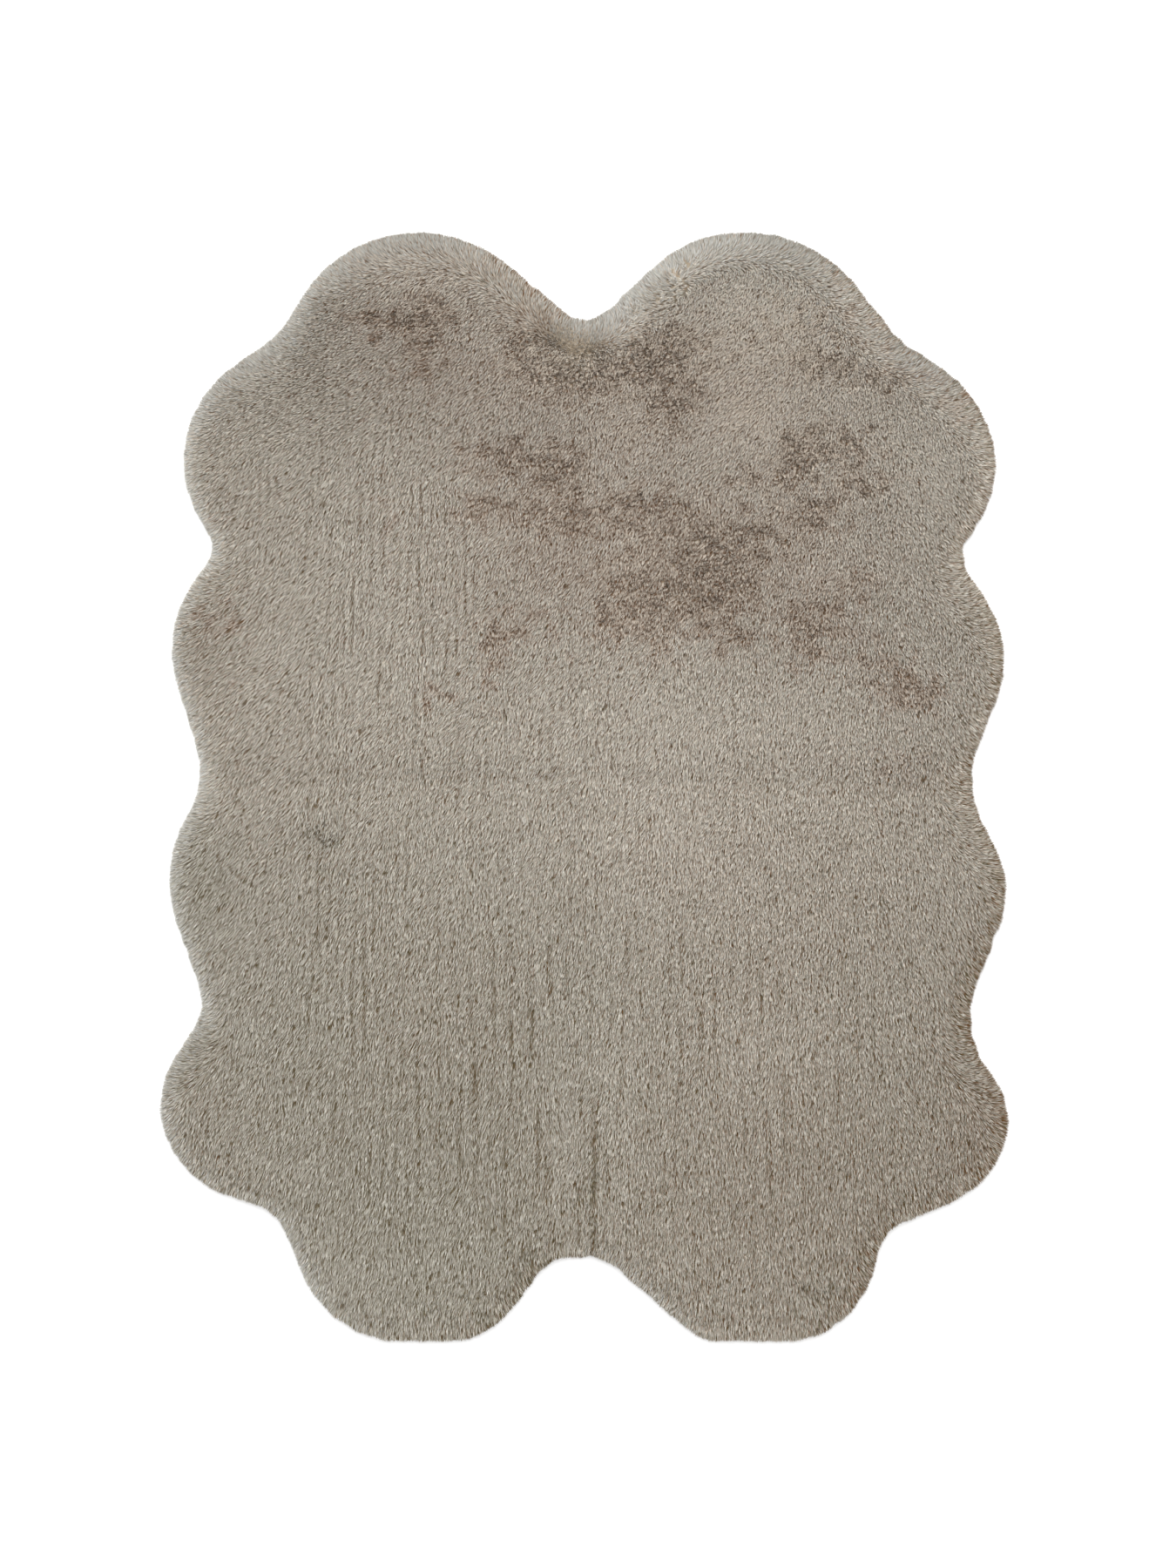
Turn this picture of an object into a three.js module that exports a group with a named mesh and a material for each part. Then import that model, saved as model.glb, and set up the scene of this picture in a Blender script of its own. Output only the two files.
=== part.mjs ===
/**
 * Faux fur rug, cut to the outline of six joined hides and laid flat with its pile up.
 *
 * Millimetres, +Z up. The origin is the middle of the underside, and +Y points to the head end.
 * Backing and pile are one solid, which reaches as far as the tips of the pile do.
 */
import * as THREE from "three";

// Pile
const PILE_TOP = 30; // height of the pile above the floor
const FUR_COLOUR = "#a59d91";
const FUR_ROUGHNESS = 0.95;

// Fineness of the faceted surface
const ARC_STEP = THREE.MathUtils.degToRad(8); // turn of the outline from one corner to the next
const STRAIGHT_STEP = 36; // longest side on a straight stretch of the outline

// Which way a round of the outline curves
const SCALLOP = 1; // bulges out of the rug
const NOTCH = -1; // cuts into the rug

/**
 * The outline runs clockwise round these circles as a belt runs round pulleys: along an arc of
 * each, and straight from one to the next. x and y are a circle's centre and r its radius.
 */
const ROUNDS = [
  { name: "head notch", side: NOTCH, x: 0, y: 720, r: 55 },
  { name: "right head scallop", side: SCALLOP, x: 240, y: 605, r: 195 },
  { name: "right shoulder notch", side: NOTCH, x: 525, y: 700, r: 90 },
  { name: "right first scallop", side: SCALLOP, x: 415, y: 450, r: 180 },
  { name: "right first notch", side: NOTCH, x: 585, y: 310, r: 40 },
  { name: "right second scallop", side: SCALLOP, x: 415, y: 160, r: 185 },
  { name: "right middle notch", side: NOTCH, x: 660, y: -20, r: 110 },
  { name: "right third scallop", side: SCALLOP, x: 440, y: -175, r: 155 },
  { name: "right last notch", side: NOTCH, x: 640, y: -360, r: 100 },
  { name: "right fourth scallop", side: SCALLOP, x: 470, y: -500, r: 120 },
  { name: "right haunch notch", side: NOTCH, x: 470, y: -700, r: 65 },
  { name: "right foot scallop, outer", side: SCALLOP, x: 285, y: -685, r: 115 },
  { name: "right foot scallop, inner", side: SCALLOP, x: 175, y: -740, r: 60 },
  { name: "foot notch", side: NOTCH, x: -10, y: -760, r: 75 },
  { name: "left foot scallop, inner", side: SCALLOP, x: -185, y: -695, r: 105 },
  { name: "left foot scallop, outer", side: SCALLOP, x: -265, y: -655, r: 145 },
  { name: "left haunch notch", side: NOTCH, x: -495, y: -690, r: 80 },
  { name: "left fourth scallop", side: SCALLOP, x: -475, y: -480, r: 125 },
  { name: "left last notch", side: NOTCH, x: -605, y: -340, r: 60 },
  { name: "left third scallop", side: SCALLOP, x: -410, y: -160, r: 185 },
  { name: "left middle notch", side: NOTCH, x: -670, y: -10, r: 115 },
  { name: "left second scallop", side: SCALLOP, x: -425, y: 175, r: 175 },
  { name: "left first notch", side: NOTCH, x: -585, y: 320, r: 40 },
  { name: "left first scallop", side: SCALLOP, x: -415, y: 455, r: 175 },
  { name: "left shoulder notch", side: NOTCH, x: -545, y: 725, r: 120 },
  { name: "left head scallop", side: SCALLOP, x: -250, y: 605, r: 195 },
];

/** Section of the edge, from the floor up: how far in from the outline, and how high. */
const EDGE_SECTION = [
  { inset: 17, height: 0 },
  { inset: 6, height: 2.5 },
  { inset: 0, height: 8.5 },
  { inset: 1.5, height: 15 },
  { inset: 7, height: 21 },
  { inset: 18, height: 26.5 },
  { inset: 40, height: PILE_TOP },
];

/** Rings of the upper face inside the edge, as shares of the way from the middle to the edge. */
const FIELD_SHARES = [0.88, 0.75, 0.61, 0.46, 0.3, 0.14];

/** Soft troughs left where the rug was folded in four: distance from the middle, and size. */
const FOLDS = {
  across: { offset: -15, halfWidth: 26, depth: 4 },
  lengthwise: { offset: -20, halfWidth: 24, depth: 3 },
};

/** Hollows where the pile is brushed over, and swells where it stands full. */
const UNEVENNESS = [
  { x: 60, y: 545, reach: 110, rise: -1.6 },
  { x: 340, y: 430, reach: 130, rise: -1.4 },
  { x: 110, y: 250, reach: 130, rise: -1.4 },
  { x: -240, y: 570, reach: 120, rise: -1 },
  { x: -290, y: 120, reach: 160, rise: 0.8 },
  { x: -260, y: -380, reach: 170, rise: 0.9 },
  { x: 260, y: -330, reach: 180, rise: 0.8 },
];

/** Radius of a round, signed so that an inset makes a scallop smaller and a notch larger. */
const signedRadius = (round) => round.side * round.r;

/** Direction of the straight stretch from one round to the next. */
function heading(from, to) {
  const along = new THREE.Vector2(to.x - from.x, to.y - from.y);
  const lean = Math.asin((signedRadius(from) - signedRadius(to)) / along.length());
  return along.angle() - lean;
}

/** A corner of the outline: its place, and the direction that points out of the rug there. */
function corner(round, direction) {
  const outward = new THREE.Vector2(-Math.sin(direction), Math.cos(direction));
  const place = new THREE.Vector2(round.x, round.y).addScaledVector(outward, signedRadius(round));
  return { place, outward };
}

/** Corners of the outline, clockwise, on every round and on the straights between them. */
function outlineCorners() {
  const corners = [];
  ROUNDS.forEach((round, i) => {
    const before = ROUNDS.at(i - 1);
    const after = ROUNDS[(i + 1) % ROUNDS.length];
    const start = heading(before, round);
    const end = heading(round, after);
    const turn = Math.abs(end - start) % (2 * Math.PI);
    const sweep = round.side * -Math.min(turn, 2 * Math.PI - turn);
    const arcSteps = Math.ceil(Math.abs(sweep) / ARC_STEP);
    for (let k = 0; k <= arcSteps; k += 1) {
      corners.push(corner(round, start + (sweep * k) / arcSteps));
    }

    const from = corners.at(-1);
    const to = corner(after, end);
    const straightSteps = Math.ceil(from.place.distanceTo(to.place) / STRAIGHT_STEP);
    for (let k = 1; k < straightSteps; k += 1) {
      const place = from.place.clone().lerp(to.place, k / straightSteps);
      corners.push({ place, outward: from.outward });
    }
  });
  return corners;
}

/** A soft bell curve: 1 at the middle, and almost nothing two reaches away. */
const bell = (distance, reach) => Math.exp(-((distance / reach) ** 2));

/** How far the pile stands above or below its nominal height at a place. */
function unevenness(x, y) {
  const { across, lengthwise } = FOLDS;
  const troughs =
    across.depth * bell(y - across.offset, across.halfWidth) +
    lengthwise.depth * bell(x - lengthwise.offset, lengthwise.halfWidth);
  const swells = UNEVENNESS.reduce(
    (sum, spot) => sum + spot.rise * bell(Math.hypot(x - spot.x, y - spot.y), spot.reach),
    0,
  );
  return swells - troughs;
}

/** A point of the rug, its height following the unevenness more the higher it is. */
function furPoint(x, y, height) {
  const share = height / PILE_TOP;
  return new THREE.Vector3(x, y, height + share * unevenness(x, y));
}

/** Rings of points from the edge of the underside, up the edge and in over the upper face. */
function furRings() {
  const corners = outlineCorners();
  const edge = EDGE_SECTION.map(({ inset, height }) =>
    corners.map(({ place, outward }) => {
      const flat = place.clone().addScaledVector(outward, -inset);
      return furPoint(flat.x, flat.y, height);
    }),
  );
  const field = FIELD_SHARES.map((share) =>
    edge.at(-1).map(({ x, y }) => furPoint(x * share, y * share, PILE_TOP)),
  );
  return [...edge, ...field];
}

/** The closed skin of the rug: the rings, a middle point above and one below. */
function furGeometry() {
  const rings = furRings();
  const around = rings[0].length;
  const points = rings.flat();
  const middleBelow = points.push(new THREE.Vector3(0, 0, 0)) - 1;
  const middleAbove = points.push(furPoint(0, 0, PILE_TOP)) - 1;

  const faces = [];
  for (let i = 0; i < around; i += 1) {
    const next = (i + 1) % around;
    faces.push(middleBelow, i, next);
    for (let ring = 0; ring < rings.length - 1; ring += 1) {
      const outer = ring * around;
      const inner = outer + around;
      faces.push(outer + i, inner + i, inner + next);
      faces.push(outer + i, inner + next, outer + next);
    }
    const last = (rings.length - 1) * around;
    faces.push(last + i, middleAbove, last + next);
  }

  const geometry = new THREE.BufferGeometry().setFromPoints(points);
  geometry.setIndex(faces);
  geometry.computeVertexNormals();
  return geometry;
}

const furMaterial = new THREE.MeshStandardMaterial({
  color: FUR_COLOUR,
  roughness: FUR_ROUGHNESS,
  metalness: 0,
});

const furRug = new THREE.Mesh(furGeometry(), furMaterial);
furRug.name = "fur_rug";

const rug = new THREE.Group();
rug.add(furRug);

export default rug;
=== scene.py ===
"""Faux fur rug: a dense, short pile cut to the outline of six joined hides and laid flat.

Metres, +Z up. The origin is the middle of the underside and +Y points to the head end. Tables that
describe the pile are in millimetres, as a maker would note them, and MM brings them to metres.
"""

from __future__ import annotations

import logging
import math
from dataclasses import astuple, dataclass, field
from enum import Enum
from typing import Any, Sequence, Union

import bpy
import numpy as np
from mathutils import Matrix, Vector
from mathutils.bvhtree import BVHTree


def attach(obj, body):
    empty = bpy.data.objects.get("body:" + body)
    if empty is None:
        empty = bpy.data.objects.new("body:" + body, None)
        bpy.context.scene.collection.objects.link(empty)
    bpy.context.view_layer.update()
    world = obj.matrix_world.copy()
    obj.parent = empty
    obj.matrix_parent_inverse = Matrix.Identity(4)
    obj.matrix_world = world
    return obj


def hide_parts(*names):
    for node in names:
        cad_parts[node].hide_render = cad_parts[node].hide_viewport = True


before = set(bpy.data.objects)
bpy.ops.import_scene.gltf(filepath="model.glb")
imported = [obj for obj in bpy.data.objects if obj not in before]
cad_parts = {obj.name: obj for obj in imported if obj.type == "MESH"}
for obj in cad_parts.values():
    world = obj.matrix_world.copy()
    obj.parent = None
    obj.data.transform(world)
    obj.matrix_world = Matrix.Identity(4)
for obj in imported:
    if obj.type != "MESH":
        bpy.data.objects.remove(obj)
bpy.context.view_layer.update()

log = logging.getLogger("fur_rug")

Array = np.ndarray
Colour = tuple[float, float, float]
Given = dict[Any, Any] | None
Object = bpy.types.Object
Random = np.random.Generator
Socket = bpy.types.NodeSocket

MM = 0.001
SOLID = "fur_rug"
BODY = "root"
STRAND_MAP = "OFBake"
SEED = 20
TINY = 1e-9
ROW_ENDS = (-275.0, 265.0)

# The shares of a side between which a rim comes to face it.
FACING = (0.2, 0.8)


# ---- How the pile lies, place by place. All of it in millimetres.


@dataclass(frozen=True)
class Nap:
    """How far the tips lean from their roots round a place."""

    x: float
    y: float
    across: float
    along: float


@dataclass(frozen=True)
class Oval:
    """A soft oval round a place, with its half width and its half length."""

    x: float
    y: float
    across: float
    along: float

    def cover(self, places: Array, turn: float = 0.0) -> Array:
        """How fully the oval covers places, from 0 far off to 1 in its middle.

        Args:
            places: Points in plan, in metres.
            turn: How far the oval is turned, in degrees.

        Returns:
            A share for each place.
        """
        x, y = (places / MM - (self.x, self.y)).T
        cos, sin = math.cos(math.radians(turn)), math.sin(math.radians(turn))
        return np.exp(-(((x * cos + y * sin) / self.across) ** 2 + ((y * cos - x * sin) / self.along) ** 2))


@dataclass(frozen=True)
class Spot(Oval):
    """An oval where the pile is worked: how strongly, and how far the oval is turned."""

    strength: float
    turn: float = 0.0


@dataclass(frozen=True)
class Shade(Oval):
    """An oval where the fur is lighter or warmer than elsewhere, or darker or cooler, partly as painted
    light and shade.
    """

    light: float
    warm: float = 0.0


def table(kind: type, *rows: tuple[float, ...]) -> tuple[Any, ...]:
    """A table's rows, each made into one of a kind."""
    return tuple(kind(*row) for row in rows)


# Which way the pile lies: x, y, and how far the tips lean across and along.
NAP = table(
    Nap,
    (-260, 720, -3.0, -7.0), (260, 720, -2.5, -7.0), (-430, 580, -4.0, -3.0), (-250, 600, -3.0, -7.0),
    (0, 560, -1.5, -7.0), (250, 560, -4.0, -6.5), (430, 560, -1.0, -6.0), (-540, 440, -3.6, -8.0),
    (-300, 380, -1.6, -9.0), (0, 300, -2.4, -8.0), (300, 350, -2.0, -7.0), (540, 440, 1.0, -7.0),
    (-540, 160, -5.0, -7.5), (-300, 100, -2.2, -9.0), (0, 50, -2.6, -8.5), (300, 80, -2.0, -8.0),
    (540, 160, 0.0, -7.5), (-540, -180, -3.6, -8.0), (-300, -200, -1.8, -9.5), (0, -200, -1.7, -9.0),
    (300, -200, -1.4, -8.5), (540, -180, 0.5, -8.0), (-530, -480, -2.0, -9.0),
    (-300, -500, -1.8, -10.0), (0, -500, -1.2, -10.0), (300, -500, -1.2, -9.5), (530, -480, 0.0, -8.5),
    (-250, -740, -1.2, -10.0), (250, -740, -0.8, -9.5),
)
NAP_REACH = 130.0

# Where the pile is brushed up out of its lie: its brown roots show, and painted shade darkens the holes
# between its tufts as flecks. x, y, half width, half length, strength and, where it is turned, degrees.
MUSSED = table(
    Spot,
    (-270, 665, 95, 26, 0.75), (-225, 700, 34, 34, 0.5), (-240, 615, 36, 40, 0.6),
    (-90, 625, 40, 62, 0.65), (-20, 575, 62, 36, 0.7), (75, 600, 95, 40, 0.85), (125, 642, 40, 18, 0.6),
    (130, 535, 45, 42, 0.7), (-130, 460, 60, 34, 0.7), (-40, 440, 52, 46, 0.75),
    (-140, 385, 55, 22, 0.65), (-20, 370, 80, 28, 0.65), (90, 390, 60, 28, 0.75),
    (200, 340, 130, 46, 0.64), (180, 272, 72, 46, 0.8), (70, 262, 62, 52, 0.7),
    (308, 458, 34, 56, 0.85, -35), (380, 470, 60, 38, 0.5), (402, 415, 42, 18, 0.7),
    (340, 378, 40, 26, 0.65), (235, 430, 22, 16, 0.5), (348, 595, 52, 20, 0.5), (450, 575, 62, 22, 0.5),
    (542, 535, 30, 26, 0.45), (330, 215, 60, 55, 0.5), (400, 275, 42, 32, 0.45), (60, 212, 60, 32, 0.6),
    (170, 240, 60, 50, 0.6), (106, 172, 20, 34, 0.5), (215, 192, 26, 26, 0.5), (320, 188, 28, 44, 0.5),
    (420, 160, 45, 45, 0.4), (330, 660, 160, 80, 0.35), (-130, 190, 32, 34, 0.65),
    (-137, 140, 9, 40, 0.6), (-214, 107, 30, 11, 0.6), (-80, 215, 45, 32, 0.4),
    (466, 112, 48, 32, 0.75), (450, 0, 60, 36, 0.4), (-530, 215, 42, 26, 0.4),
    (-285, 370, 10, 80, 0.35), (-378, -94, 40, 14, 0.65), (-375, -110, 10, 50, 0.45),
    (10, -600, 9, 75, 0.7), (-80, -690, 18, 34, 0.5), (-210, -745, 110, 12, 0.5),
    (180, -745, 60, 10, 0.35), (320, -730, 38, 26, 0.6),
)

# Where the fur is lighter and warmer: x, y, half width, half length, light and warmth. The light is
# partly the fur's own tone and partly painted light and shade, as light falls over the nap and the fold.
SHADES = table(
    Shade,
    (250, 620, 520, 300, 1.0, 0.2), (280, 680, 170, 90, 1.9), (240, 520, 60, 45, 0.7, 0.4),
    (60, 490, 60, 40, 0.5, 0.4), (430, 510, 220, 150, 1.7, 0.1), (460, 300, 110, 70, 0.4),
    (570, 100, 60, 80, 0.6), (-430, 500, 120, 100, 0.7), (330, 280, 50, 30, 0.4, 0.3),
    (-250, 750, 170, 60, 0.7, 0.5), (0, 590, 330, 80, -0.3, 0.5), (100, 340, 300, 130, 0.1, 0.4),
    (121, 250, 60, 80, 0.5), (-50, 305, 70, 50, -0.7, 0.2), (458, 610, 60, 40, -0.1),
    (-330, 300, 130, 240, 0.3, -0.1), (-560, 200, 60, 110, -1.2), (20, -500, 60, 150, 0.6),
    (250, -390, 90, 80, 0.5), (0, 610, 90, 50, 1.5), (540, 440, 60, 110, 0.6),
    (180, 40, 330, 130, 1.1, 0.1), (-150, 80, 90, 70, -0.1), (-560, 440, 50, 100, -0.4),
    (-440, 610, 90, 60, 0.7), (-560, -490, 60, 90, -0.6), (300, -32, 330, 18, -0.6),
    (-200, -32, 200, 18, -0.3), (-217, 600, 60, 60, -0.4), (120, -120, 160, 90, 0.4, 0.2),
    (-35, -560, 16, 120, 0.7), (380, -330, 240, 260, 0.0, 0.3), (0, -620, 700, 340, -1.3),
    (400, -600, 200, 160, -0.6), (-450, -120, 150, 170, -0.3), (560, -480, 70, 140, -0.7, 0.2),
    (-560, -160, 60, 90, -0.9, -0.5), (-280, -380, 330, 280, -0.7, -0.6),
    (-260, -700, 220, 130, 0.0, -0.4), (-230, -340, 160, 170, 0.0, 0.35),
    (430, -370, 150, 200, -0.3, -0.35), (345, 665, 110, 75, 0.7), (-18, 606, 60, 16, 1.5, 0.2),
)

# Where the pile is combed into furrows: the same numbers as in MUSSED.
RAKED = table(
    Spot,
    (-270, 280, 190, 330, 1.0), (-420, 430, 90, 90, 0.35), (60, 40, 330, 160, 0.5),
    (-60, -420, 330, 280, 0.85), (-300, -380, 160, 260, 0.5), (0, -500, 90, 160, 0.4),
    (330, -350, 260, 300, 0.35),
)


class Sweep(Enum):
    """Which way a parting runs. The value is the coordinate that stays the same along it."""

    LENGTHWISE = 0
    ACROSS = 1


@dataclass(frozen=True)
class Parting:
    """A line where the pile falls to both sides, left by a fold of the rug.

    Reach is its half width and spread how far the tips fall aside, in millimetres. Strength, from
    0 to 1, is how plainly the line itself shows.
    """

    sweep: Sweep
    offset: float
    start: float
    end: float
    reach: float
    spread: float
    strength: float

    def off(self, plan: Array) -> Array:
        """How many half widths places lie off the line."""
        return (plan[:, self.sweep.value] / MM - self.offset) / self.reach

    def along(self, plan: Array) -> Array:
        """How fully the parting has formed at places, from 0 past its ends to 1."""
        run = plan[:, 1 - self.sweep.value] / MM
        return ramp(run, self.start - 60, self.start) * (1 - ramp(run, self.end, self.end + 60))

    def line(self, plan: Array) -> Array:
        """How plainly the line shows at places, where nothing breaks it."""
        return self.strength * np.exp(-self.off(plan) ** 2) * self.along(plan)


PARTINGS = (
    Parting(Sweep.ACROSS, -15, -300, 130, 3.0, 0.2, 0.3),
    Parting(Sweep.LENGTHWISE, -20, 330, 700, 7, 0.8, 0.3),
    Parting(Sweep.LENGTHWISE, 10, -665, -500, 4.0, 1.6, 0.85),
    Parting(Sweep.LENGTHWISE, -11, -660, -610, 3.0, 0.8, 0.8),
    Parting(Sweep.LENGTHWISE, -57, -590, -560, 3.0, 0.6, 0.8),
    Parting(Sweep.LENGTHWISE, -381, -240, -140, 3.0, 0.5, 0.7),
    Parting(Sweep.LENGTHWISE, -359, 175, 205, 3.0, 0.5, 0.7),
    Parting(Sweep.LENGTHWISE, -236, 190, 215, 3.0, 0.5, 0.6),
)


# ---- Fields over the rug


class Ripples:
    """A smooth random field over the rug, made of many plane waves of about one length."""

    def __init__(self, rng: Random, length: float, waves: int = 28, fan: float = math.pi) -> None:
        """Draws the waves.

        Args:
            rng: Where the waves' directions and phases are drawn from.
            length: Their mean length, in metres.
            waves: How many there are.
            fan: How far from the x axis they may run, in radians.
        """
        angle = rng.uniform(-fan, fan, waves)
        number = math.tau / (length * rng.uniform(0.7, 1.5, waves))
        phase = rng.uniform(0.0, math.tau, waves)
        self.waves = np.stack([np.cos(angle) * number, np.sin(angle) * number, phase], 1)
        self.scale = math.sqrt(2.0 / waves)

    def at(self, places: Array) -> Array:
        """Values at places in plan, in metres: about 0, with a spread of about 1."""
        x, y = places.T[:2]
        return self.scale * sum(np.cos(x * kx + y * ky + phase) for kx, ky, phase in self.waves)


class Relief:
    """The pile's soft relief: combed furrows that come and go, slanting locks and a fine grain."""

    slants = (math.radians(15), math.radians(34))
    leans = (math.radians(9), math.radians(30))

    def __init__(self, rng: Random) -> None:
        """Draws the relief's fields.

        Args:
            rng: Where they are drawn from.
        """
        self.narrow = Ripples(rng, 13 * MM, 30, 0.5)
        self.broad = Ripples(rng, 18 * MM, 30, 0.5)
        self.presence = Ripples(rng, 55 * MM, 24)
        self.fine = Ripples(rng, 5.0 * MM, 30)
        self.locks = [Ripples(rng, 3.7 * MM, 44, 0.7) for _ in self.slants]
        self.warp = Ripples(rng, 16 * MM, 16)
        self.sway = Ripples(rng, 70 * MM, 16)

    def furrows(self, plan: Array) -> Array:
        """How deep in a furrow places are, up to 1, and below 0 on the ridges between.

        Args:
            plan: Points in plan.

        Returns:
            One value for each point.
        """
        foot = (1 - ramp(plan[:, 1], -0.28, -0.08)) * ramp(plan[:, 0], -0.28, -0.12)
        bent = plan * (1.0, 0.14)
        bent[:, 0] += self.sway.at(plan) * 1.0 * MM
        waves = mixed(self.narrow.at(bent), self.broad.at(bent), foot)
        shown = ramp(self.presence.at(plan * (1.0, 0.6)), -1.0, 1.2)
        return (ramp(-waves, 0.2, 1.9) - 0.35 * ramp(waves, 0.4, 2.0)) * (0.35 + 0.65 * shown)

    def strokes(self, plan: Array, lean: Array) -> Array:
        """How far places stand out, on the back of a lock of pile, or lie between two.

        Args:
            plan: Points in plan.
            lean: How the pile leans at each.

        Returns:
            One value for each point, about 0 with a spread of about 1, lowest between locks.
        """
        share = ramp(np.arctan2(-lean[:, 0], -lean[:, 1]), *self.leans) * math.pi / 2
        warp = self.warp.at(plan)
        bent = plan + np.stack([warp, -warp], 1) * 1.2 * MM
        wave = np.zeros(len(plan))
        for lock, slant, part in zip(self.locks, self.slants, (np.cos(share), np.sin(share))):
            cos, sin = math.cos(slant), math.sin(slant)
            wave += part * lock.at(bent @ np.array([[cos, sin * 0.62], [-sin, cos * 0.62]]))
        wave *= 0.85 + 0.3 * warp
        return np.clip(wave - 0.22 * (wave**2 - 1), -1.7, 1.7)

    def creases(self, plan: Array) -> Array:
        """How plainly the partings' lines show at places, from 0 to 1."""
        broken = ramp(self.presence.at(plan * (1.3, 1.0)), -0.7, 0.9)
        return sum(part.line(plan) * np.maximum(broken, 2 * part.strength - 1) for part in PARTINGS)

    def grain(self, plan: Array) -> Array:
        """The fine grain at places, about 0 with a spread of about 1."""
        return self.fine.at(plan @ np.array([[0.97, -0.18], [0.24, 0.72]]))


def nap_at(places: Array) -> Array:
    """How far the tips lean in plan at places, in metres, blended smoothly from the table."""
    shares = np.stack([Oval(nap.x, nap.y, NAP_REACH, NAP_REACH).cover(places) for nap in NAP], 1)
    return shares @ [(nap.across, nap.along) for nap in NAP] * MM / (shares.sum(1, keepdims=True) + TINY)


def spotted(places: Array, spots: Sequence[Spot]) -> Array:
    """How strongly a table of soft ovals covers places, from 0 to 1."""
    return 1.0 - np.prod([1.0 - spot.strength * spot.cover(places, spot.turn) for spot in spots], axis=0)


def shaded(places: Array) -> Array:
    """How much lighter, and how much warmer, the fur is at places: two numbers for each."""
    return sum(shade.cover(places)[:, None] * (shade.light, shade.warm) for shade in SHADES)


def unit(vectors: Array) -> Array:
    """Vectors scaled to a length of 1."""
    return vectors / np.maximum(np.linalg.norm(vectors, axis=-1, keepdims=True), 1e-12)


def mixed(low: Array | float, high: Array | float, share: Array) -> Array:
    """A blend from low, where share is 0, to high, where it is 1."""
    return low + (high - low) * share


def ramp(values: Array, start: float, end: float) -> Array:
    """A smooth rise from 0 at start to 1 at end."""
    share = np.clip((values - start) / (end - start), 0.0, 1.0)
    return share * share * (3.0 - 2.0 * share)


def sides(outward: Array) -> Array:
    """How far directions in plan point right, left, to the head and to the foot, each from 0 to 1."""
    x, y = outward.T
    return np.maximum([x, -x, y, -y], 0.0)


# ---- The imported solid: its rim and its top


class Solid:
    """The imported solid, which gives the rug's rim and the height of the pile's tips."""

    RIM_STEP = 3 * MM
    SPAN = 4
    ROUNDINGS = 6
    DECIMALS = 6
    CHUNK = 4000

    def __init__(self, node: Object) -> None:
        """Reads the solid's mesh.

        Args:
            node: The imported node, whose mesh holds its place.
        """
        mesh = node.data
        points = np.empty(len(mesh.vertices) * 3)
        mesh.vertices.foreach_get("co", points)
        faces = np.empty(len(mesh.polygons) * 3, int)
        mesh.polygons.foreach_get("vertices", faces)
        points = np.round(points.reshape(-1, 3), self.DECIMALS)
        self.points, index = np.unique(points, axis=0, return_inverse=True)
        self.faces = index.ravel()[faces.reshape(-1, 3)]
        self.tree = BVHTree.FromPolygons(self.points.tolist(), self.faces.tolist())
        self.rim = self._resampled(self._rim_corners())
        along = unit(np.roll(self.rim, -self.SPAN, axis=0) - np.roll(self.rim, self.SPAN, axis=0))
        self.outward = np.stack([-along[:, 1], along[:, 0]], 1)

    def _rim_corners(self) -> Array:
        """Walks the edges between faces that look up and faces that look down.

        Returns:
            The rim's corners in plan, clockwise.
        """
        a, b, c = (self.points[self.faces[:, k]] for k in range(3))
        looks_up = np.cross(b - a, c - a)[:, 2] > 0
        upper = {(int(face[k - 1]), int(face[k])) for face in self.faces[looks_up] for k in range(3)}
        after = {end: start for start, end in upper if (end, start) not in upper}
        first = next(iter(after))
        walk = [first]
        while after[walk[-1]] != first:
            walk.append(after[walk[-1]])
        return self.points[walk][:, :2]

    def _resampled(self, corners: Array) -> Array:
        """Spaces the rim evenly and rounds its corners off.

        Args:
            corners: The rim's corners in plan.

        Returns:
            Evenly spaced points round the rim.
        """
        closed = np.vstack([corners, corners[:1]])
        travel = np.concatenate([[0.0], np.cumsum(np.linalg.norm(np.diff(closed, axis=0), axis=1))])
        stations = np.linspace(0.0, travel[-1], int(travel[-1] / self.RIM_STEP), endpoint=False)
        rim = np.stack([np.interp(stations, travel, closed[:, k]) for k in range(2)], 1)
        for _ in range(self.ROUNDINGS):
            rim = (np.roll(rim, 1, axis=0) + 2 * rim + np.roll(rim, -1, axis=0)) / 4
        return rim

    def depth(self, places: Array) -> tuple[Array, Array]:
        """How far inside the rim places lie.

        Args:
            places: Points in plan.

        Returns:
            The depth of each place, below 0 outside, and the direction out of the rug there.
        """
        parts = np.array_split(places, len(places) // self.CHUNK + 1)
        near = np.concatenate([((part[:, None] - self.rim) ** 2).sum(2).argmin(1) for part in parts])
        outward = self.outward[near]
        return ((self.rim[near] - places) * outward).sum(1), outward

    def top(self, places: Array) -> Array:
        """Height of the pile's tips over places inside the rim."""
        hits = (self.tree.ray_cast(Vector((x, y, 1.0)), Vector((0.0, 0.0, -1.0)))[0] for x, y in places)
        return np.array([hit.z if hit else 0.0 for hit in hits])


# ---- Shader tools

Value = Union["Sock", Socket, float]


def linear(*levels: int) -> Colour:
    """A display colour, from 0 to 255, as the linear colour that shaders take."""
    shares = (level / 255 for level in levels)
    return tuple(share / 12.92 if share <= 0.04045 else ((share + 0.055) / 1.055) ** 2.4 for share in shares)


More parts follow.
